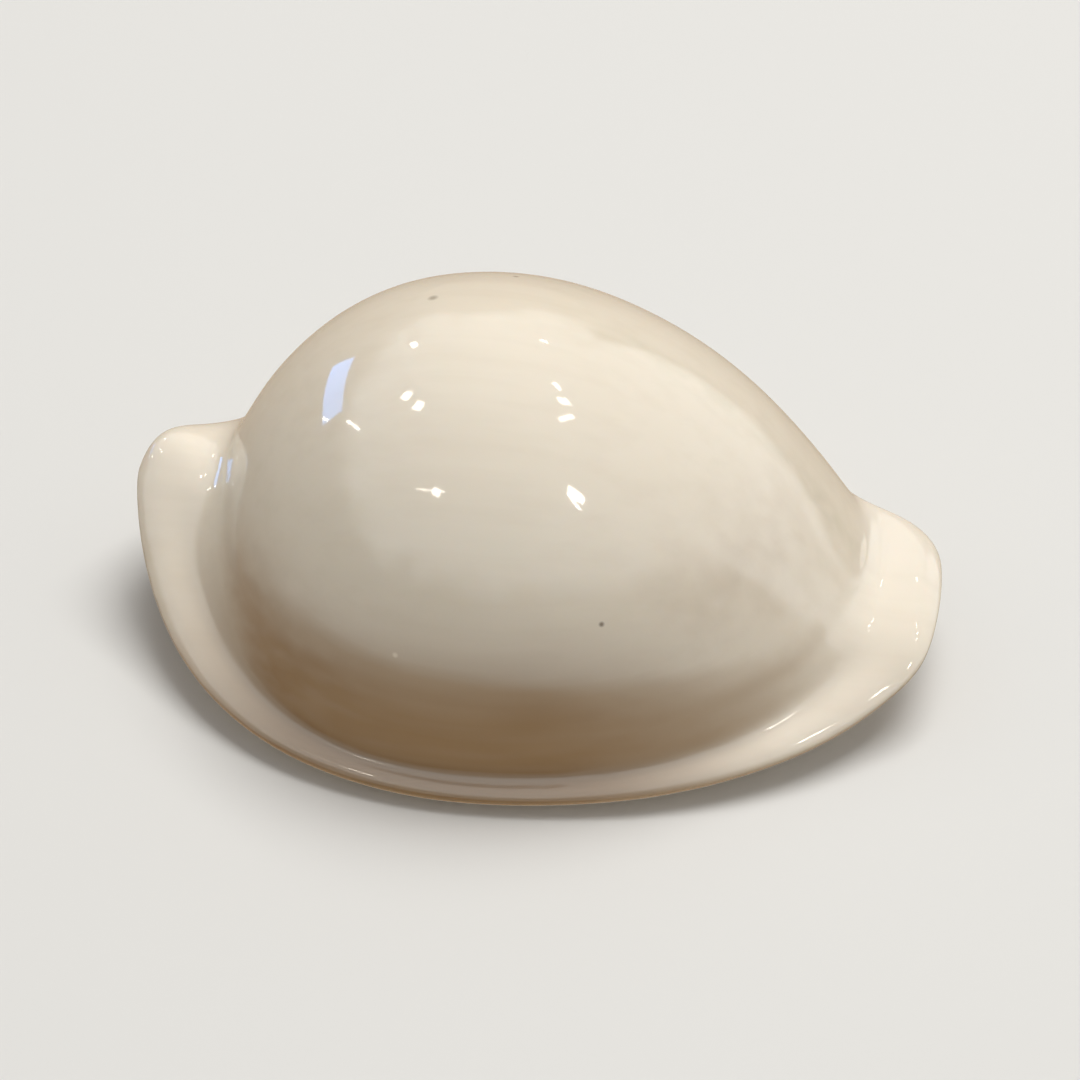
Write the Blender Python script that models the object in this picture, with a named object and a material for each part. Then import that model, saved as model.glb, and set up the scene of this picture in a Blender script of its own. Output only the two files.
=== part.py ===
"""An egg cowrie shell, as one hollow solid lying on its aperture side.

The shell is a stack of closed loops that run round it. They start at the edge of the long
slit under it, cross the underside to the flared rim, drop into the valley behind the rim,
and climb the dome. A second stack goes from the slit up the inside, and leaves the wall
between the two. Each loop is fixed by where it crosses four sides of the shell:
labral (-Y, the outer lip), columellar (+Y), posterior (-X) and anterior (+X).
"""

import math

import bmesh
import bpy
import numpy as np

MM = 0.001
SHELL_COLOUR = (0.80, 0.74, 0.64, 1.0)
SHELL_ROUGHNESS = 0.15

# How fine the mesh is
POINTS_PER_LOOP = 80
STEPS_BETWEEN_KEYS = 2
DOME_LOOPS = 9
INNER_DOME_LOOPS = 4

# Driving dimensions, in millimetres, with angles in degrees
DOME_TOP = (-6.0, -0.5, 43.2)
WALL = 2.4

# How far the underside bends up towards each end, and where the shell is widest
ROCKER = 3.0
WIDEST_X = -4.5

# How much squarer the loops are in front than behind, how blunt the rim's front end is
# and how sharp its back end, each with the power that holds it to that end
SQUARE_SHIFT = 0.5
BLUNT_FRONT = 4.5
BLUNT_POWER = 30
SHARP_BACK = 0.3
SHARP_POWER = 2

# The small notch in the front edge, where the canal leaves the shell
NOTCH_ANGLE = 19.0
NOTCH_SPREAD = 6.5
NOTCH_DEPTH = 1.3

# Outer loops, from the edge of the slit to the foot of the dome:
# labral (y, z), columellar (y, z), posterior (x, y, z), anterior (x, y, z), then how
# square the loop is in plan on the labral and on the columellar side, how quickly it
# curls up at the ends, and its share of the rocker
OUTER_LOOPS = [
    ((-14.0, 3.4), (-8.4, 4.4), (-42.4, 4.0, 14.6), (38.8, 6.5, 10.2), 14.0, 14.0, 14.0, 1.0),
    ((-16.6, 1.0), (-5.0, 1.7), (-43.6, 4.0, 14.7), (40.6, 6.2, 9.8), 8.0, 5.0, 10.0, 1.0),
    ((-20.5, -0.3), (0.5, 0.0), (-44.7, 4.0, 15.0), (42.2, 5.6, 9.6), 4.0, 2.0, 8.0, 1.0),
    ((-25.8, -0.2), (8.0, -0.3), (-45.4, 3.6, 15.6), (43.6, 4.4, 9.7), 2.2, 0.9, 7.0, 1.0),
    ((-30.0, 0.9), (14.5, 0.7), (-45.8, 1.9, 16.2), (44.7, 0.2, 10.2), 0.8, 0.2, 7.0, 1.0),
    ((-31.0, 2.2), (19.4, 3.0), (-45.6, 2.1, 17.2), (44.9, 0.4, 10.9), 0.5, 0.0, 7.0, 1.0),
    ((-30.3, 3.3), (22.7, 6.2), (-44.1, 3.6, 19.4), (43.5, 1.4, 11.9), 0.4, -0.2, 6.0, 0.9),
    ((-29.1, 3.6), (24.8, 9.4), (-41.2, 4.2, 19.9), (40.8, 2.4, 12.2), 0.4, -0.3, 5.0, 0.7),
    ((-28.7, 5.4), (26.0, 12.2), (-38.2, 3.4, 19.0), (38.2, 2.2, 11.9), 0.6, -0.3, 3.5, 0.5),
    ((-28.8, 8.8), (26.8, 14.6), (-36.0, 3.0, 19.6), (36.6, 2.6, 12.6), 0.6, -0.2, 2.0, 0.3),
    ((-28.7, 13.0), (27.1, 17.0), (-34.7, 3.0, 21.2), (35.5, 2.5, 14.2), 0.5, -0.05, 1.0, 0.0),
]

# The arc, in degrees, that the dome's section follows from its top to its foot on each
# side, the share of it under the cap on top, and the shares of the two guide loops that
# lead the spline below into the dome
DOME_ARC = {"labral": 88.0, "columellar": 88.0, "posterior": 61.0, "anterior": 46.0}
CAP_SHARE = 0.27
GUIDE_SHARES = (0.88, 0.76)

# Inner loops, from the edge of the slit up to the foot of the inner dome
INNER_LOOPS = [
    ((-14.1, 6.4), (-7.6, 7.8), (-41.2, 4.0, 14.8), (37.5, 6.4, 10.6), 13.0, 13.0, 13.0, 1.0),
    ((-17.2, 7.3), (-4.6, 11.0), (-39.8, 3.9, 15.2), (36.4, 6.2, 11.0), 6.0, 5.0, 8.0, 0.8),
    ((-21.2, 8.3), (1.6, 12.6), (-38.4, 3.7, 15.7), (35.4, 5.8, 11.5), 3.0, 2.0, 6.0, 0.6),
    ((-24.2, 10.2), (10.0, 11.6), (-37.0, 3.5, 16.4), (34.4, 5.2, 12.2), 1.6, 0.8, 4.0, 0.4),
    ((-25.6, 12.8), (18.5, 11.4), (-35.8, 3.3, 17.4), (33.4, 4.6, 13.4), 0.8, 0.3, 3.0, 0.2),
    ((-26.1, 15.6), (23.0, 14.6), (-34.7, 3.1, 19.0), (32.6, 4.0, 15.0), 0.4, 0.1, 2.0, 0.1),
    ((-25.9, 18.8), (24.6, 19.0), (-33.8, 3.0, 21.2), (31.8, 3.6, 17.2), 0.0, 0.0, 1.0, 0.0),
]


def clear_scene():
    for item in list(bpy.data.objects):
        bpy.data.objects.remove(item, do_unlink=True)


def loop_points(loop, angles):
    """The points of one closed loop, at the given angles round the shell."""
    labral, columellar, posterior, anterior = loop[:4]
    labral_square, columellar_square, curl, rocker = loop[4:8]
    side_x = loop[8] if len(loop) > 8 else WIDEST_X
    c = np.cos(angles)
    s = np.sin(angles)
    square = (labral_square + columellar_square) / 2.0
    square = square + s * (columellar_square - labral_square) / 2.0
    square = square * (1.0 + SQUARE_SHIFT * c)
    square = square + BLUNT_FRONT * rocker * np.maximum(c, 0.0) ** BLUNT_POWER
    square = square - SHARP_BACK * rocker * np.maximum(-c, 0.0) ** SHARP_POWER
    side = s * np.sqrt((1.0 + square) / (1.0 + square * s * s))
    low = s * np.sqrt((1.0 + curl) / (1.0 + curl * s * s))
    half_length = (anterior[0] - posterior[0]) / 2.0
    off_centre = (anterior[0] + posterior[0]) / 2.0 - side_x
    notch = NOTCH_DEPTH * rocker * np.exp(-((angles - math.radians(NOTCH_ANGLE))
                                            / math.radians(NOTCH_SPREAD)) ** 2)
    x = side_x + half_length * c + off_centre * c * c - notch
    mid_y = (columellar[0] + labral[0]) / 2.0
    end_y = (anterior[1] + posterior[1]) / 2.0 + (anterior[1] - posterior[1]) / 2.0 * c
    y = mid_y * s * s + end_y * c * c + side * (columellar[0] - labral[0]) / 2.0
    lift = ROCKER * rocker * c * c
    side_z = (columellar[1] + labral[1]) / 2.0 + low * (columellar[1] - labral[1]) / 2.0 + lift
    end_z = (anterior[2] + posterior[2]) / 2.0 + (anterior[2] - posterior[2]) / 2.0 * c
    z = low * low * side_z + (1.0 - low * low) * end_z
    return np.stack([x, y, z], axis=-1)


def smooth_through(keys, steps):
    """A cubic spline through the keys, with the given number of steps between them."""
    keys = np.asarray(keys, dtype=float)
    count = len(keys)
    system = np.zeros((count, count))
    right = np.zeros_like(keys)
    system[0, 0] = system[-1, -1] = 1.0
    for i in range(1, count - 1):
        system[i, i - 1:i + 2] = (1.0, 4.0, 1.0)
        right[i] = 6.0 * (keys[i + 1] - 2.0 * keys[i] + keys[i - 1])
    bend = np.linalg.solve(system, right.reshape(count, -1)).reshape(keys.shape)
    points = []
    for i in range(count - 1):
        for step in range(steps):
            t = step / steps
            r = 1.0 - t
            points.append(r * keys[i] + t * keys[i + 1]
                          + ((r ** 3 - r) * bend[i] + (t ** 3 - t) * bend[i + 1]) / 6.0)
    points.append(keys[-1])
    return np.array(points)


def dome_loop(foot, top, fraction):
    """One loop of the dome: fraction 1 is its foot and 0 its top."""
    sides = {"labral": (WIDEST_X,) + foot[0], "columellar": (WIDEST_X,) + foot[1],
             "posterior": foot[2], "anterior": foot[3]}
    placed = {}
    for name, point in sides.items():
        full = math.radians(DOME_ARC[name])
        turn = full * fraction
        across = math.sin(turn) / math.sin(full)
        down = (1.0 - math.cos(turn)) / (1.0 - math.cos(full))
        placed[name] = (top[0] + (point[0] - top[0]) * across,
                        top[1] + (point[1] - top[1]) * across,
                        top[2] + (point[2] - top[2]) * down)
    lab = placed["labral"]
    col = placed["columellar"]
    labral_square, columellar_square, curl = (value * fraction * fraction for value in foot[4:7])
    return (lab[1:], col[1:], placed["posterior"], placed["anterior"],
            labral_square, columellar_square, curl, 0.0, lab[0])


def side_of_shell(loops, top, dome_loops, angles):
    """All loops of the outer or the inner surface, from the slit to the edge of the cap."""
    guides = [dome_loop(loops[-1], top, share) for share in GUIDE_SHARES]
    keys = [loop_points(loop, angles) for loop in list(loops) + guides]
    lower = smooth_through(keys, STEPS_BETWEEN_KEYS)[:-len(guides) * STEPS_BETWEEN_KEYS]
    fractions = np.linspace(1.0, CAP_SHARE, dome_loops + 1)[1:]
    upper = [loop_points(dome_loop(loops[-1], top, f), angles) for f in fractions]
    return list(lower) + upper


def cap_points(foot, top):
    """A square grid of points that fills the last loop of a dome, with no pole."""
    side = POINTS_PER_LOOP // 4
    steps = math.sqrt(2.0) * np.sin(np.linspace(-math.pi / 4.0, math.pi / 4.0, side + 1))
    grid = np.zeros((side + 1, side + 1, 3))
    for i, u in enumerate(steps):
        for j, v in enumerate(steps):
            across = u * math.sqrt(1.0 - v * v / 2.0)
            along = v * math.sqrt(1.0 - u * u / 2.0)
            loop = dome_loop(foot, top, CAP_SHARE * math.hypot(across, along))
            grid[i, j] = loop_points(loop, np.array([math.atan2(along, across)]))[0]
    return grid


def build_shell():
    step = 2.0 * math.pi / POINTS_PER_LOOP
    angles = np.arange(POINTS_PER_LOOP) * step - math.pi / 4.0
    inner_top = (DOME_TOP[0], DOME_TOP[1], DOME_TOP[2] - WALL)
    bm = bmesh.new()

    def add_loop(points):
        return [bm.verts.new((p[0] * MM, p[1] * MM, max(p[2], 0.0) * MM)) for p in points]

    def bridge(lower, upper, flip):
        for i in range(POINTS_PER_LOOP):
            j = (i + 1) % POINTS_PER_LOOP
            quad = [lower[i], lower[j], upper[j], upper[i]]
            bm.faces.new(quad[::-1] if flip else quad)

    def add_cap(edge, foot, top, flip):
        side = POINTS_PER_LOOP // 4
        grid = cap_points(foot, top)
        verts = {}
        for i in range(side + 1):
            for j in range(side + 1):
                if 0 < i < side and 0 < j < side:
                    verts[i, j] = bm.verts.new(grid[i, j] * MM)
        for k in range(side):
            verts[side, k] = edge[k]
            verts[side - k, side] = edge[side + k]
            verts[0, side - k] = edge[2 * side + k]
            verts[k, 0] = edge[3 * side + k]
        for i in range(side):
            for j in range(side):
                quad = [verts[i, j], verts[i + 1, j], verts[i + 1, j + 1], verts[i, j + 1]]
                bm.faces.new(quad[::-1] if flip else quad)

    outer_loops = side_of_shell(OUTER_LOOPS, DOME_TOP, DOME_LOOPS, angles)
    inner_loops = side_of_shell(INNER_LOOPS, inner_top, INNER_DOME_LOOPS, angles)
    outer = [add_loop(p) for p in outer_loops]
    inner = [add_loop(p) for p in inner_loops]
    for lower, upper in zip(outer, outer[1:]):
        bridge(lower, upper, False)
    for lower, upper in zip(inner, inner[1:]):
        bridge(lower, upper, True)
    bridge(outer[0], inner[0], True)
    add_cap(outer[-1], OUTER_LOOPS[-1], DOME_TOP, False)
    add_cap(inner[-1], INNER_LOOPS[-1], inner_top, True)

    # The origin goes to the middle of the shell's length and width, at the table
    for axis in (0, 1):
        values = [v.co[axis] for v in bm.verts]
        middle = (max(values) + min(values)) / 2.0
        for v in bm.verts:
            v.co[axis] -= middle

    mesh = bpy.data.meshes.new("shell")
    bm.normal_update()
    bm.to_mesh(mesh)
    bm.free()
    mesh.shade_smooth()
    shell = bpy.data.objects.new("shell", mesh)
    bpy.context.collection.objects.link(shell)
    return shell


def porcelain():
    material = bpy.data.materials.new("shell_porcelain")
    material.use_nodes = True
    shader = material.node_tree.nodes["Principled BSDF"]
    shader.inputs["Base Color"].default_value = SHELL_COLOUR
    shader.inputs["Roughness"].default_value = SHELL_ROUGHNESS
    shader.inputs["Metallic"].default_value = 0.0
    return material


clear_scene()
shell = build_shell()
shell.data.materials.append(porcelain())
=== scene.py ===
import math

import bpy
import numpy as np
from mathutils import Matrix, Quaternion, Vector, noise


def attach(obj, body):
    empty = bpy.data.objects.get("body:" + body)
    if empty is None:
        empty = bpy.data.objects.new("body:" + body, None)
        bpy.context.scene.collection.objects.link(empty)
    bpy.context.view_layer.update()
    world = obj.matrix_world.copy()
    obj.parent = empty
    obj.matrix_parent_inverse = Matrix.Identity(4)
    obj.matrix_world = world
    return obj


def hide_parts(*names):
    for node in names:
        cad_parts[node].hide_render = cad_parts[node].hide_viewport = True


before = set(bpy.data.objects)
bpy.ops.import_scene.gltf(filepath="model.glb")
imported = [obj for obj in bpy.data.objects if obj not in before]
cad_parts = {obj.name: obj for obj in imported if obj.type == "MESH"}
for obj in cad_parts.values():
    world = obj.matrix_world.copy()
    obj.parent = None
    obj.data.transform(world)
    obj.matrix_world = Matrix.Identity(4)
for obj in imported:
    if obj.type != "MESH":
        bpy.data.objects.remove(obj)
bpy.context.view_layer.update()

mm = 0.001


# sRGB hex to a linear colour with alpha
def linear(hexColour):
    values = [int(hexColour[i:i + 2], 16) / 255.0 for i in (1, 3, 5)]
    return tuple(v / 12.92 if v <= 0.04045 else ((v + 0.055) / 1.055) ** 2.4 for v in values) + (1.0,)


def scaled(colour, strength):
    return [part * strength for part in colour]


# 0 at start, 1 at end, soft at both
def fade(values, start, end):
    t = np.clip((values - start) / (end - start), 0.0, 1.0)
    return t * t * (3.0 - 2.0 * t)


# one object selected and active, so that an operator acts on it alone
def makeActive(item):
    for other in bpy.context.selected_objects:
        other.select_set(False)
    item.select_set(True)
    bpy.context.view_layer.objects.active = item


# unit vector from the shell towards an azimuth (0 is the lip side, 90 the front end) and elevation
def towards(azimuth, elevation):
    a = math.radians(azimuth)
    e = math.radians(elevation)
    return Vector((math.sin(a) * math.cos(e), -math.cos(a) * math.cos(e), math.sin(e)))


# Camera: looks down on the outer lip, a little from the front end, like the photograph
photoView = {
    "azimuth": 8.0,
    "elevation": 42.0,
    "distance": 0.42,
    "lens": 127.4,
    "sensor": 36.0,
    "lookAt": (0.0, 0.0, 20.0 * mm),
    "slideRight": 0.7 * mm,
    "slideUp": -4.1 * mm,
    "nearClip": 0.01,
}


def makeCamera():
    v = photoView
    toward = towards(v["azimuth"], v["elevation"])
    right = towards(v["azimuth"] + 90.0, 0.0)
    up = toward.cross(right)
    target = Vector(v["lookAt"]) + right * v["slideRight"] + up * v["slideUp"]
    data = bpy.data.cameras.new("photo_camera")
    data.lens = v["lens"]
    data.sensor_width = v["sensor"]
    data.clip_start = v["nearClip"]
    camera = bpy.data.objects.new("photo_camera", data)
    camera.location = target + toward * v["distance"]
    camera.rotation_euler = toward.to_track_quat("Z", "Y").to_euler()
    bpy.context.scene.collection.objects.link(camera)
    bpy.context.scene.camera = camera
    bpy.context.scene.view_settings.view_transform = "Standard"
    print("camera placed")


# Light: a broad softbox above and behind, and a pale ceiling over darker walls. The glaze
# mirrors a brighter room, small lamps and one blue window at the back end. Metres and degrees.
studioLight = {
    "ceiling": "#F4F1EB",
    "ceilingStrength": 0.40,
    "mirroredStrength": 1.7,
    "wall": "#B5A48F",
    "wallStrength": 0.12,
    "mirroredWallStrength": 1.15,
    "wallTop": 0.24,
    "ceilingEdge": 0.53,
    "ceilingTilt": -0.15,
    "cloudSize": 0.2,
    "cloudShare": 0.5,
    "cloudDetail": 3.0,
    "paleSideAt": (120.0, 14.0),
    "paleSideReach": (0.76, 0.93),
    "paleSideShare": 0.52,
    "softboxAt": (142.0, 73.0),
    "softboxDistance": 1.5,
    "softboxSize": 0.9,
    "softboxPower": 18.0,
    "softboxColour": "#FFFCF6",
    "mirroredDistance": 2.0,
    "lampBrightness": 17.0,
    "lampColour": "#FFF4E4",
    "lamps": (
        {"at": (-138.5, 39.2), "size": (0.11, 0.08), "tilt": 75.0},
        {"at": (-102.7, 49.3), "size": (0.12, 0.07), "tilt": 60.0},
        {"at": (-92.5, 56.1), "size": (0.17, 0.10), "tilt": 55.0},
        {"at": (-98.4, 27.2), "size": (0.27, 0.022), "tilt": 45.0},
        {"at": (-107.5, 14.9), "size": (0.12, 0.016), "tilt": 48.0},
        {"at": (-30.1, 45.9), "size": (0.14, 0.10), "tilt": 1.0},
        {"at": (-34.7, 45.2), "size": (0.50, 0.014), "tilt": 21.0},
        {"at": (168.1, 45.5), "size": (0.08, 0.028), "tilt": -19.0},
        {"at": (135.8, 63.1), "size": (0.20, 0.035), "tilt": 0.0},
        {"at": (116.8, 63.5), "size": (0.11, 0.08), "tilt": -81.0},
        {"at": (102.9, 64.3), "size": (0.18, 0.05), "tilt": -56.0},
        {"at": (52.0, 48.1), "size": (0.16, 0.11), "tilt": -59.0},
        {"at": (48.6, 46.4), "size": (0.04, 0.18), "tilt": -2.0},
    ),
    "windowBrightness": 4.5,
    "windowColour": "#69ACFF",
    "window": {"at": (-117.5, 16.5), "size": (0.76, 0.28), "tilt": 9.0},
}


# a lamp either lights the shell or is only mirrored in its glaze
def addAreaLight(name, direction, distance, size, power, colour, mirrored=True, tilt=0.0):
    data = bpy.data.lights.new(name, "AREA")
    data.shape = "RECTANGLE"
    data.size = size[0]
    data.size_y = size[1]
    data.energy = power
    data.color = linear(colour)[:3]
    lamp = bpy.data.objects.new(name, data)
    lamp.location = towards(*direction) * distance
    turn = Quaternion((0.0, 0.0, 1.0), math.radians(tilt))
    lamp.rotation_euler = (towards(*direction).to_track_quat("Z", "Y") @ turn).to_euler()
    lamp.visible_glossy = mirrored
    lamp.visible_diffuse = not mirrored
    bpy.context.scene.collection.objects.link(lamp)


# a lamp of a given brightness, however large it is
def addMirroredLamp(name, lamp, brightness, colour):
    power = brightness * math.pi * lamp["size"][0] * lamp["size"][1]
    addAreaLight(name, lamp["at"], studioLight["mirroredDistance"], lamp["size"], power, colour,
                 tilt=lamp["tilt"])


def makeLights():
    s = studioLight
    world = bpy.data.worlds.new("studio_room")
    world.use_nodes = True
    tree = world.node_tree
    place = addNode(tree, "ShaderNodeTexCoord").outputs["Generated"]
    # how high a direction points, with a slant, clouds and one pale side, sets wall or ceiling
    height = addNode(tree, "ShaderNodeVectorMath",
                     {"operation": "DOT_PRODUCT", 1: (0.0, s["ceilingTilt"], 1.0)}, {0: place})
    clouds = addNode(tree, "ShaderNodeTexNoise", {"Scale": 1.0 / s["cloudSize"], "Detail": s["cloudDetail"]},
                     {"Vector": place})
    uneven = addNode(tree, "ShaderNodeMath",
                     {"operation": "MULTIPLY_ADD", 1: s["cloudShare"], 2: -0.5 * s["cloudShare"]},
                     {0: clouds.outputs["Fac"]})
    facing = addNode(tree, "ShaderNodeVectorMath",
                     {"operation": "DOT_PRODUCT", 1: towards(*s["paleSideAt"])}, {0: place})
    near, far = s["paleSideReach"]
    pale = addNode(tree, "ShaderNodeMapRange",
                   {"interpolation_type": "SMOOTHSTEP", "From Min": near, "From Max": far,
                    "To Max": s["paleSideShare"]}, {"Value": facing.outputs["Value"]})
    edge = addNode(tree, "ShaderNodeMath", {"operation": "ADD"},
                   {0: height.outputs["Value"], 1: uneven.outputs["Value"]})
    edge = addNode(tree, "ShaderNodeMath", {"operation": "ADD"},
                   {0: edge.outputs["Value"], 1: pale.outputs["Result"]})
    share = addNode(tree, "ShaderNodeMapRange",
                    {"interpolation_type": "SMOOTHSTEP", "From Min": s["wallTop"],
                     "From Max": s["ceilingEdge"]}, {"Value": edge.outputs["Value"]})
    wall, ceiling = linear(s["wall"]), linear(s["ceiling"])
    mirrored = addNode(tree, "ShaderNodeLightPath").outputs["Is Glossy Ray"]
    top = addNode(tree, "ShaderNodeMix",
                  {"data_type": "RGBA", 6: scaled(ceiling, s["ceilingStrength"]),
                   7: scaled(ceiling, s["mirroredStrength"])}, {0: mirrored})
    sides = addNode(tree, "ShaderNodeMix",
                    {"data_type": "RGBA", 6: scaled(wall, s["wallStrength"]),
                     7: scaled(wall, s["mirroredWallStrength"])}, {0: mirrored})
    room = addNode(tree, "ShaderNodeMix", {"data_type": "RGBA"},
                   {0: share.outputs["Result"], 6: sides.outputs[2], 7: top.outputs[2]})
    tree.links.new(room.outputs[2], tree.nodes["Background"].inputs["Color"])
    bpy.context.scene.world = world
    addAreaLight("softbox", s["softboxAt"], s["softboxDistance"], (s["softboxSize"], s["softboxSize"]),
                 s["softboxPower"], s["softboxColour"], mirrored=False)
    for lamp in s["lamps"]:
        addMirroredLamp("ceiling_lamp", lamp, s["lampBrightness"], s["lampColour"])
    addMirroredLamp("window", s["window"], s["windowBrightness"], s["windowColour"])
    print("lights placed")


# adds a node, sets its properties or sockets, and links sockets to other nodes' outputs
def addNode(tree, kind, settings=None, links=None):
    node = tree.nodes.new(kind)
    for name, value in (settings or {}).items():
        if isinstance(name, int) or name in node.inputs:
            node.inputs[name].default_value = value
        else:
            setattr(node, name, value)
    for name, output in (links or {}).items():
        tree.links.new(output, node.inputs[name])
    return node


# Floor: one sheet of pale matt paper, which the glaze doesn't mirror
paleFloor = {"side": 6.0, "colour": "#E2E3E4", "roughness": 0.75}


def makeFloor():
    bpy.ops.mesh.primitive_plane_add(size=paleFloor["side"], location=(0.0, 0.0, 0.0))
    floor = bpy.context.object
    floor.name = "studio_floor"
    floor.visible_glossy = False
    material = bpy.data.materials.new("matt_paper_floor")
    material.use_nodes = True
    shader = material.node_tree.nodes["Principled BSDF"]
    shader.inputs["Base Color"].default_value = linear(paleFloor["colour"])
    shader.inputs["Roughness"].default_value = paleFloor["roughness"]
    floor.data.materials.append(material)
    print("floor laid")


# Shell surface: the solid's own form made fine, with the outer lip's teeth and a slight
# unevenness, as the shell was laid down in thin layers. Sizes in mm.
shellSurface = {
    "mergeGap": 0.02,
    "fineLevels": 2,
    "smoothPasses": 10,
    "smoothShare": 0.5,
    "farSidePasses": 60,
    "farSide": (6.0, 14.0),
    "farSideAbove": (1.0, 4.0),
    "lipEdgeFacing": 0.6,
    "lipEdgeWithin": 8.0,
    "lipEdgeHeights": (2.0, 8.0),
    "lipStations": (-38.0, 38.0, 2.0),
    "lipStationReach": 1.5,
    "toothPitch": 3.1,
    "toothWander": ((0.7, 5.3), (0.3, 2.1)),
    "toothRounding": 1.3,
    "toothGap": 0.3,
    "toothHeight": 0.9,
    "toothReach": 8.0,
    "toothStart": 1.6,
    "toothEnds": (-36.0, 34.0),
    "toothFadeLength": 7.0,
    "toothCuts": 2,
    "swellSize": 15.0,
    "swellHeight": 0.07,
    "dimpleSize": 5.5,
    "dimpleHeight": 0.012,
    "growthLineSize": (32.0, 2.4),
    "growthLineHeight": 0.03,
    "growthWall": (0.2, 0.8),
    "growthAbove": (-0.4, -0.1),
    "lipStepSide": (24.0, 28.0),
    "lipStepTop": (4.0, 7.0),
    "lipStepAt": 19.0,
    "lipStepWidth": 1.6,
    "lipStepDepth": 0.3,
}


def readMesh(piece):
    count = len(piece.data.vertices)
    points = np.empty(count * 3)
    normals = np.empty(count * 3)
    piece.data.vertices.foreach_get("co", points)
    piece.data.vertices.foreach_get("normal", normals)
    return points.reshape(-1, 3) / mm, normals.reshape(-1, 3)


def writePoints(piece, points):
    piece.data.vertices.foreach_set("co", (points * mm).ravel())
    piece.data.update()


# the edge of the outer lip beside the slit, as y and z at any x
def lipEdge(points, normals):
    s = shellSurface
    low, high = s["lipEdgeHeights"]
    facing = (normals[:, 1] > s["lipEdgeFacing"]) & (points[:, 1] < s["lipEdgeWithin"])
    facing &= (points[:, 2] > low) & (points[:, 2] < high)
    found = []
    for x in np.arange(*s["lipStations"]):
        near = facing & (abs(points[:, 0] - x) < s["lipStationReach"])
        if near.any():
            best = points[near][np.argmax(points[near][:, 1])]
            found.append((x, best[1], best[2]))
    x, y, z = np.array(found).T
    return np.polynomial.Polynomial.fit(x, y, 6), np.polynomial.Polynomial.fit(x, z, 4)


# each point's distance from the lip's edge, across the shell
def fromLip(points, edge):
    return np.hypot(points[:, 1] - edge[0](points[:, 0]), points[:, 2] - edge[1](points[:, 0]))


# the faces near the lip's edge are cut smaller, so that the teeth have faces enough
def cutLipFiner(piece, edge):
    s = shellSurface
    for cut in range(s["toothCuts"]):
        mesh = piece.data
        centres = np.empty(len(mesh.polygons) * 3)
        mesh.polygons.foreach_get("center", centres)
        centres = centres.reshape(-1, 3) / mm
        near = fromLip(centres, edge) < s["toothReach"]
        near &= (centres[:, 0] > s["toothEnds"][0]) & (centres[:, 0] < s["toothEnds"][1])
        makeActive(piece)
        bpy.ops.object.mode_set(mode="EDIT")
        bpy.ops.mesh.select_mode(type="FACE")
        bpy.ops.mesh.select_all(action="DESELECT")
        bpy.ops.object.mode_set(mode="OBJECT")
        mesh.polygons.foreach_set("select", near)
        bpy.ops.object.mode_set(mode="EDIT")
        bpy.ops.mesh.subdivide(number_cuts=1)
        bpy.ops.object.mode_set(mode="OBJECT")


# low rounded teeth, uneven in pitch, height and length as they are grown
def raiseTeeth(piece, edge):
    s = shellSurface
    points, normals = readMesh(piece)
    x = points[:, 0]
    path = np.linspace(*s["toothEnds"], 400)
    length = np.concatenate([[0.0], np.cumsum(np.hypot(np.diff(path), np.diff(edge[0](path))))])
    along = np.interp(x, path, length)
    (slowShift, slowLength), (quickShift, quickLength) = s["toothWander"]
    wander = along + slowShift * np.sin(along / slowLength) + quickShift * np.sin(along / quickLength)
    turn = 2.0 * math.pi * wander / s["toothPitch"]
    ridge = np.maximum(np.cos(turn), 0.0) ** s["toothRounding"]
    uneven = 0.8 + 0.2 * np.sin(along / 3.7 + 1.0)
    reach = s["toothReach"] * (0.75 + 0.12 * np.sin(along / 2.9))
    share = 1.0 - fade(fromLip(points, edge), s["toothStart"], reach)
    share *= fade(x, s["toothEnds"][0], s["toothEnds"][0] + s["toothFadeLength"])
    share *= 1.0 - fade(x, s["toothEnds"][1] - s["toothFadeLength"], s["toothEnds"][1])
    points += normals * (s["toothHeight"] * (ridge * uneven - s["toothGap"]) * share)[:, None]
    writePoints(piece, points)


# broad swells, small dimples, growth lines on the lip's side and a step along the lip's rim
def unevenSurface(piece):
    s = shellSurface
    points, normals = readMesh(piece)
    swell = np.array([noise.noise(Vector(p) / s["swellSize"]) for p in points])
    dimple = np.array([noise.noise(Vector(p) / s["dimpleSize"]) for p in points])
    long, thin = s["growthLineSize"]
    lengthwise = 1.0 / np.array([long, thin, thin])
    lines = np.array([noise.noise(Vector(p * lengthwise)) for p in points])
    wall = fade(-normals[:, 1], *s["growthWall"]) * fade(normals[:, 2], *s["growthAbove"])
    shift = s["swellHeight"] * swell + s["dimpleHeight"] * dimple + s["growthLineHeight"] * lines * wall
    rim = fade(-points[:, 1], *s["lipStepSide"]) * (1.0 - fade(points[:, 2], *s["lipStepTop"]))
    start, end = s["lipStepAt"] - s["lipStepWidth"], s["lipStepAt"] + s["lipStepWidth"]
    shift -= s["lipStepDepth"] * rim * fade(points[:, 0], start, end)
    points += normals * shift[:, None]
    points[:, 2] = np.maximum(points[:, 2], 0.0)
    writePoints(piece, points)


# the side away from the lip is rounded over, with no line where the dome meets the base
def softenFarSide(piece):
    s = shellSurface
    points, normals = readMesh(piece)
    side = fade(points[:, 1], *s["farSide"]) * fade(points[:, 2], *s["farSideAbove"])
    group = piece.vertex_groups.new(name="far_side")
    for index in np.flatnonzero(side > 0.0):
        group.add([int(index)], float(side[index]), "REPLACE")
    soften = piece.modifiers.new("soften", "SMOOTH")
    soften.factor = s["smoothShare"]
    soften.iterations = s["farSidePasses"]
    soften.vertex_group = group.name
    makeActive(piece)
    bpy.ops.object.modifier_apply(modifier=soften.name)
    piece.vertex_groups.clear()


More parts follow.
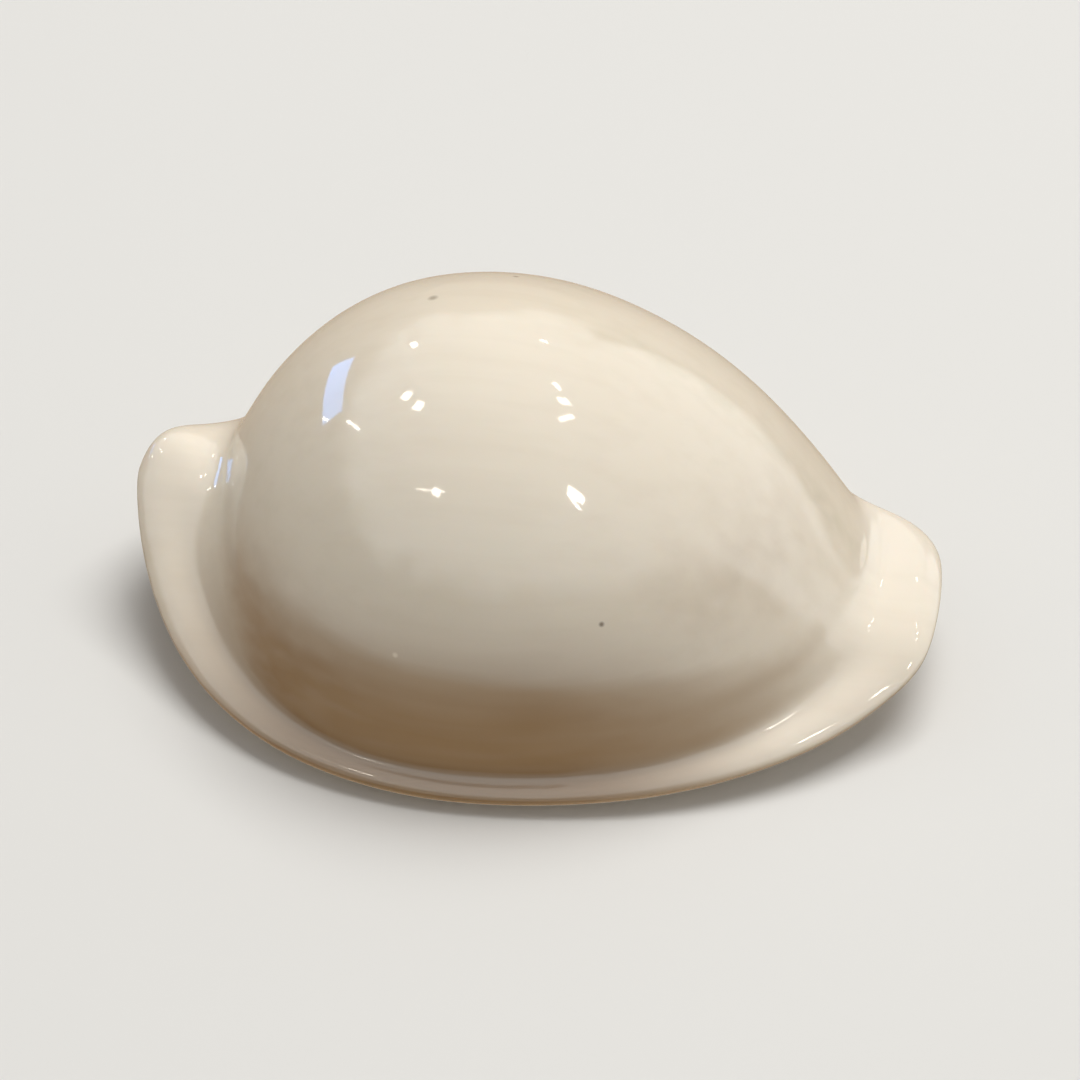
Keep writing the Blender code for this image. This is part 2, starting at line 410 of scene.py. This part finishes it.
# the solid's own mesh, copied, merged and made fine; the copy stands for the node in the looks
def makeShellSurface():
    s = shellSurface
    piece = bpy.data.objects.new("shell_surface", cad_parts["shell"].data.copy())
    bpy.context.scene.collection.objects.link(piece)
    piece.data.materials.clear()
    makeActive(piece)
    bpy.ops.object.mode_set(mode="EDIT")
    bpy.ops.mesh.select_all(action="SELECT")
    bpy.ops.mesh.remove_doubles(threshold=s["mergeGap"] * mm)
    bpy.ops.mesh.tris_convert_to_quads(face_threshold=math.pi, shape_threshold=math.pi)
    bpy.ops.object.mode_set(mode="OBJECT")
    faces = piece.data.polygons
    print("quads", sum(len(face.vertices) == 4 for face in faces), "of", len(faces))
    fine = piece.modifiers.new("fine", "SUBSURF")
    fine.levels = s["fineLevels"]
    fine.render_levels = s["fineLevels"]
    bpy.ops.object.modifier_apply(modifier=fine.name)
    smooth = piece.modifiers.new("smooth", "SMOOTH")
    smooth.factor = s["smoothShare"]
    smooth.iterations = s["smoothPasses"]
    bpy.ops.object.modifier_apply(modifier=smooth.name)
    softenFarSide(piece)
    edge = lipEdge(*readMesh(piece))
    cutLipFiner(piece, edge)
    raiseTeeth(piece, edge)
    unevenSurface(piece)
    bpy.ops.object.shade_smooth()
    triangles = sum(len(p.vertices) - 2 for p in piece.data.polygons)
    print("shell surface", triangles, "triangles")
    return piece


# Tones: how far each point lies inside the hollow; a painted tan shade in the groove above the lip, on
# the lip's lower wall and in soft patches; painted light that makes the up-facing rim pale; a painted tan
# shade and reflection on the outer edge; and a faint painted reflection as a line along the back. Sizes
# in mm. A pair named for a facing is where the tone starts and is full, by the normal's part that way.
shellTones = {
    "hollowEnds": (-28.0, 24.0),
    "hollowHeight": 20.0,
    "insideFacing": (0.62, 0.9),
    "insideEnds": (30.0, 36.0),
    "valleyFrom": (4.5, 25.0),
    "valleyRise": (0.36, -0.003),
    "grooveHeight": (26.0, 3.0),
    "grooveStreakSize": (26.0, 2.2),
    "grooveStreakShare": 0.16,
    "grooveDepth": 1.35,
    "grooveFacing": (0.62, 0.1),
    "grooveSide": (-0.05, 0.65),
    "grooveMiddle": -11.0,
    "grooveEnds": (12.0, 43.0),
    "notUnder": (-0.75, -0.4),
    "lipShadeShare": 0.7,
    "lipSide": (-8.0, 10.0),
    "lipMiddle": -6.0,
    "lipEnds": (14.0, 42.0),
    "lipTop": (18.0, 8.0),
    "rimFacing": (0.25, 0.7),
    "rimHeight": 17.2,
    "rimSlope": -0.083,
    "rimEdge": (1.5, -1.0),
    "rimFrom": (20.0, 34.0),
    "rimSide": (-8.0, 14.0),
    "rimLow": (9.0, 5.0),
    "rimLowShare": 0.4,
    "outerFacing": (0.55, -0.1),
    "underFacing": (-0.97, -0.8),
    "outerSpan": (20.0, 24.0),
    "outwardFacing": (0.1, 0.4),
    "halfSize": (45.0, 29.0),
    # painted shade: three soft darker patches, on the dome's middle right, the lower lip rim and the back
    # end
    "paintedShadePatches": (  # soft darker patches: centre and reach in mm, and their share of the groove's tan
        {"at": (25.0, -11.0, 23.0), "reach": (13.0, 15.0, 6.5), "share": 0.14},
        {"at": (34.0, -14.0, 9.0), "reach": (11.0, 7.0, 5.0), "share": 0.11},
        {"at": (-41.0, -6.0, 11.0), "reach": (6.0, 9.0, 6.0), "share": 0.08},
    ),
    "shadeStreakShare": 0.6,
    "farEdge": (2.0, 14.0),
    "farEdgeLess": 0.65,
    "backLineOffset": 6.0,
    "backLineSlope": -0.08,
    "backLineWidth": 1.7,
    "backLineFrom": (-2.0, 8.0),
    "backLineFacing": (0.1, 0.4),
    "backLineBroken": (0.6, 1.2),
}


def paintTones(piece):
    t = shellTones
    points, normals = readMesh(piece)
    x, y, z = points.T
    alongX = np.clip(x, *t["hollowEnds"])
    hollowAxis = np.stack([alongX, np.zeros_like(x), np.full_like(x, t["hollowHeight"])], axis=-1)
    inward = hollowAxis - points
    inward /= np.linalg.norm(inward, axis=1, keepdims=True)
    inside = fade((inward * normals).sum(axis=1), *t["insideFacing"])
    inside *= 1.0 - fade(abs(x), *t["insideEnds"])
    notUnder = fade(normals[:, 2], *t["notUnder"])
    # painted shade: the wall above the lip's valley darkened towards tan-brown, with faint streaks, where it
    # faces the lip side and not under
    valley = t["valleyFrom"][0] + (t["valleyRise"][0] + t["valleyRise"][1] * x) * (y + t["valleyFrom"][1])
    paintedShade = fade(z - valley, *t["grooveHeight"]) * fade(normals[:, 2], *t["grooveFacing"])
    long, thin = t["grooveStreakSize"]
    streaks = np.array([noise.fractal(Vector((p[0] / long, p[1] / thin, p[2] / thin)), 0.8, 2.0, 2)
                        for p in points])
    paintedShade = paintedShade ** t["grooveDepth"] * (1.0 + t["grooveStreakShare"] * streaks)
    paintedShade *= fade(-normals[:, 1], *t["grooveSide"]) * notUnder
    paintedShade *= 1.0 - fade(abs(x - t["grooveMiddle"]), *t["grooveEnds"])
    # painted shade on the lip side's lower wall, added to the groove's painted shade
    lip = fade(-y, *t["lipSide"]) * fade(z, *t["lipTop"])
    lip *= 1.0 - fade(abs(x - t["lipMiddle"]), *t["lipEnds"])
    paintedShade = np.maximum(paintedShade, t["lipShadeShare"] * lip * notUnder)
    # painted shade: soft darker patches added to the groove's painted shade
    for shade in t["paintedShadePatches"]:
        gap = (points - shade["at"]) / shade["reach"]
        patch = shade["share"] * np.exp(-(gap ** 2).sum(axis=1))
        paintedShade = np.maximum(paintedShade, patch * (1.0 + t["shadeStreakShare"] * streaks))
    aboveRim = z - t["rimHeight"] - t["rimSlope"] * x
    # painted light: the up-facing top of the rim, and the low rim near the floor, made paler
    rim = fade(normals[:, 2], *t["rimFacing"]) * fade(aboveRim, *t["rimEdge"])
    lowRim = fade(z, *t["rimLow"]) * t["rimLowShare"]
    rim *= np.maximum(fade(abs(x), *t["rimFrom"]) * fade(y, *t["rimSide"]), lowRim)
    halfLength, halfWidth = t["halfSize"]
    outward = normals[:, 0] * x / halfLength + normals[:, 1] * y / halfWidth
    outward /= np.hypot(x / halfLength, y / halfWidth)
    # painted shade and painted reflection: a tan band on the rim's outer edge, less on the far side
    outer = fade(normals[:, 2], *t["outerFacing"]) * fade(normals[:, 2], *t["underFacing"])
    outer *= 1.0 - t["farEdgeLess"] * fade(y, *t["farEdge"])
    outer *= fade(outward, *t["outwardFacing"]) * fade(aboveRim, *t["rimEdge"])
    outer *= fade(np.hypot(x * halfWidth / halfLength, y), *t["outerSpan"])
    # painted reflection: a faint, broken darker line along the back, for a dark edge mirrored there
    paintedBackReflection = np.exp(-((y - t["backLineOffset"] - t["backLineSlope"] * x) / t["backLineWidth"]) ** 2)
    paintedBackReflection *= fade(x, *t["backLineFrom"]) * fade(normals[:, 2], *t["backLineFacing"])
    base, change = t["backLineBroken"]
    paintedBackReflection *= np.clip(base + change * streaks, 0.0, 1.0)
    for name, values in (("inside", inside), ("paintedShade", paintedShade), ("paintedRimLight", rim), ("paintedEdgeShade", outer),
                         ("paintedBackReflection", paintedBackReflection)):
        layer = piece.data.attributes.new(name, "FLOAT", "POINT")
        layer.data.foreach_set("value", values.astype(np.float32))
    print("tones painted")


# Polished aragonite: grown in thin layers and smoothed by the animal's mantle, so the surface is
# cream, slightly translucent and as glossy as glazed china, with faint lengthwise growth lines
polishedAragonite = {
    "cream": "#E6DCCB",
    "milk": "#EEE6D9",
    "cloudSize": 24.0,
    "streak": "#CDBFA9",
    "streakSize": (38.0, 2.2),
    "streakShare": 0.16,
    "streakRange": (0.45, 0.8),
    # faint darker line along the back: a painted reflection
    "paintedBackReflection": "#BDB8A0",
    "paintedBackReflectionShare": 0.22,
    # paler rim: painted light on its up-facing top
    "paintedRimLight": "#EDE5D9",
    "paintedRimLightShare": 0.9,
    # tan outer edge: painted shade and painted reflection
    "paintedEdgeShade": "#A98A63",
    "paintedEdgeShadeShare": 0.75,
    # tan-brown of the groove, the lip's lower wall and the soft patches: painted shade
    "paintedShade": "#7D5729",
    "inside": "#8A5640",
    "refraction": 1.53,
    "roughness": 0.06,
    "coat": 0.45,
    "coatRoughness": 0.015,
    "scatter": 0.15,
    "scatterDepth": (1.0, 0.7, 0.45),
    "scatterScale": 3.0,
    "peelSize": 0.9,
    "peelHeight": 0.0012,
}

markShare = 0.8
markSoftEdge = 0.3  # where a mark is full, as a share of its radius

# Small marks on the shell's glaze: place and radius in mm, with their colour
shellMarks = (
    {"at": (10.3, -21.9, 23.4), "radius": 0.38, "colour": "#6E6052"},
    {"at": (-11.9, 6.9, 41.9), "radius": 0.7, "colour": "#A79E90"},
    {"at": (-4.0, 14.6, 39.8), "radius": 0.5, "colour": "#7F7466"},
    {"at": (-11.2, -25.2, 19.2), "radius": 0.4, "colour": "#EFE5D5"},
)


def makeShellMaterial(piece):
    a = polishedAragonite
    material = bpy.data.materials.new("polished_aragonite_shell")
    material.use_nodes = True
    tree = material.node_tree
    shader = tree.nodes["Principled BSDF"]
    place = addNode(tree, "ShaderNodeTexCoord").outputs["Object"]
    clouds = addNode(tree, "ShaderNodeTexNoise", {"Scale": 1.0 / (a["cloudSize"] * mm), "Detail": 3.0},
                     {"Vector": place})
    long, thin = a["streakSize"]
    stretch = [1.0 / (size * mm) for size in (long, thin, thin)]
    lengthwise = addNode(tree, "ShaderNodeMapping", {"Scale": stretch}, {"Vector": place})
    streaks = addNode(tree, "ShaderNodeTexNoise", {"Scale": 1.0, "Detail": 4.0},
                      {"Vector": lengthwise.outputs["Vector"]})
    start, full = a["streakRange"]
    streakShare = addNode(tree, "ShaderNodeMapRange",
                          {"From Min": start, "From Max": full, "To Max": a["streakShare"]},
                          {"Value": streaks.outputs["Fac"]})
    colour = addNode(tree, "ShaderNodeMix",
                     {"data_type": "RGBA", 6: linear(a["cream"]), 7: linear(a["milk"])},
                     {0: clouds.outputs["Fac"]}).outputs[2]
    colour = addNode(tree, "ShaderNodeMix", {"data_type": "RGBA", 7: linear(a["streak"])},
                     {0: streakShare.outputs["Result"], 6: colour}).outputs[2]
    # tones laid over the cream: painted reflection, painted light, painted shade, painted edge shade and the
    # inside's own brown
    for name, share in (("paintedBackReflection", a["paintedBackReflectionShare"]), ("paintedRimLight", a["paintedRimLightShare"]), ("paintedShade", 1.0),
                        ("paintedEdgeShade", a["paintedEdgeShadeShare"]), ("inside", 1.0)):
        tone = addNode(tree, "ShaderNodeAttribute", {"attribute_name": name})
        amount = addNode(tree, "ShaderNodeMath", {"operation": "MULTIPLY", 1: share},
                         {0: tone.outputs["Fac"]})
        colour = addNode(tree, "ShaderNodeMix", {"data_type": "RGBA", 7: linear(a[name])},
                         {0: amount.outputs["Value"], 6: colour}).outputs[2]
    for mark in shellMarks:
        onSurface = piece.closest_point_on_mesh(Vector(mark["at"]) * mm)[1]
        away = addNode(tree, "ShaderNodeVectorMath", {"operation": "DISTANCE", 1: onSurface}, {0: place})
        radius = mark["radius"] * mm
        near = addNode(tree, "ShaderNodeMapRange",
                       {"From Min": radius, "From Max": markSoftEdge * radius, "To Max": markShare},
                       {"Value": away.outputs["Value"]})
        colour = addNode(tree, "ShaderNodeMix", {"data_type": "RGBA", 7: linear(mark["colour"])},
                         {0: near.outputs["Result"], 6: colour}).outputs[2]
    tree.links.new(colour, shader.inputs["Base Color"])
    peel = addNode(tree, "ShaderNodeTexNoise", {"Scale": 1.0 / (a["peelSize"] * mm), "Detail": 2.0},
                   {"Vector": place})
    relief = addNode(tree, "ShaderNodeBump", {"Strength": 1.0, "Distance": a["peelHeight"] * mm},
                     {"Height": peel.outputs["Fac"]})
    tree.links.new(relief.outputs["Normal"], shader.inputs["Normal"])
    finish = {"Roughness": a["roughness"], "IOR": a["refraction"], "Coat Weight": a["coat"],
              "Coat Roughness": a["coatRoughness"], "Subsurface Weight": a["scatter"],
              "Subsurface Radius": a["scatterDepth"], "Subsurface Scale": a["scatterScale"] * mm}
    for socket, value in finish.items():
        shader.inputs[socket].default_value = value
    print("shell material made")
    return material


makeCamera()
makeLights()
makeFloor()
shellPiece = makeShellSurface()
paintTones(shellPiece)
shellPiece.data.materials.append(makeShellMaterial(shellPiece))
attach(shellPiece, "root")
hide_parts("shell")
